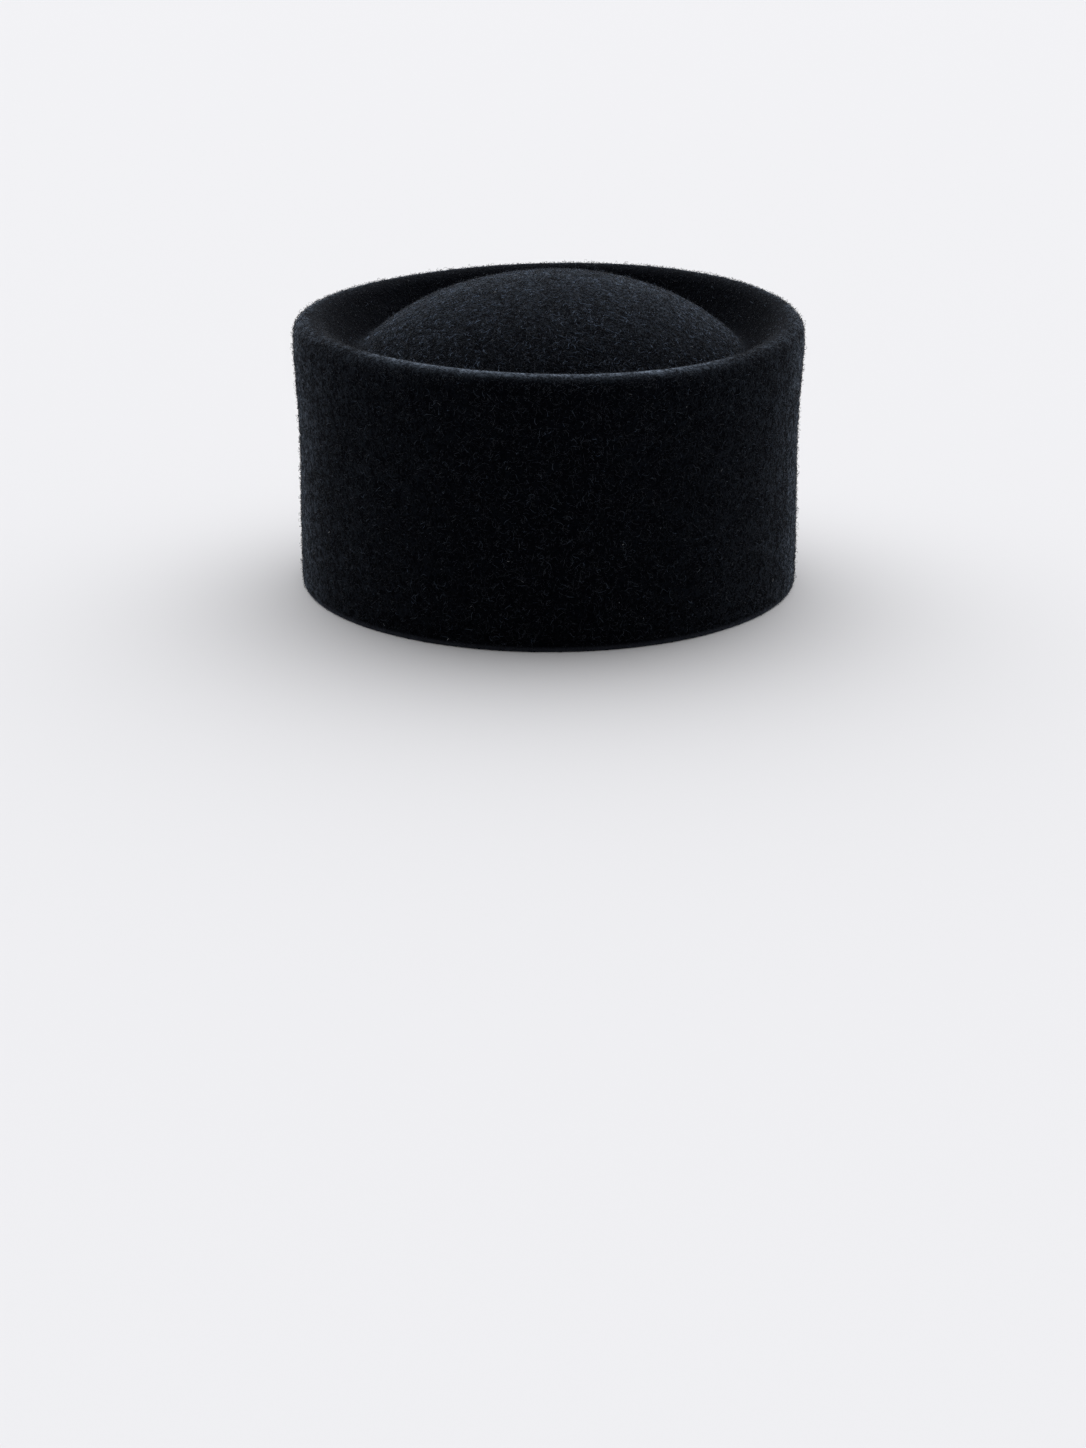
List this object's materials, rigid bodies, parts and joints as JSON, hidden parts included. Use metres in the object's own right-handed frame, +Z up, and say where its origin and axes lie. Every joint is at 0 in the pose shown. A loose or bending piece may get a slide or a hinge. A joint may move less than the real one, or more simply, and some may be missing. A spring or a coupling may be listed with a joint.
{
  "type": "pillbox hat",
  "caption": "One-piece felt pillbox hat with a straight wall, a rounded rim, a moat inside the rim and a domed crown, open below.",
  "frame": {"origin": "on the floor, under the middle of the hat's lower edge", "axes": "+Z up through the crown, -Y towards the front of the hat, +X towards the wearer's left"},
  "size_m": [0.222, 0.222, 0.1348],
  "materials": {
    "black_felt": "matte, slightly blue black wool felt with a short light fuzz"
  },
  "bodies": {
    "root": {"felt_body": "black_felt"}
  },
  "joints": []
}
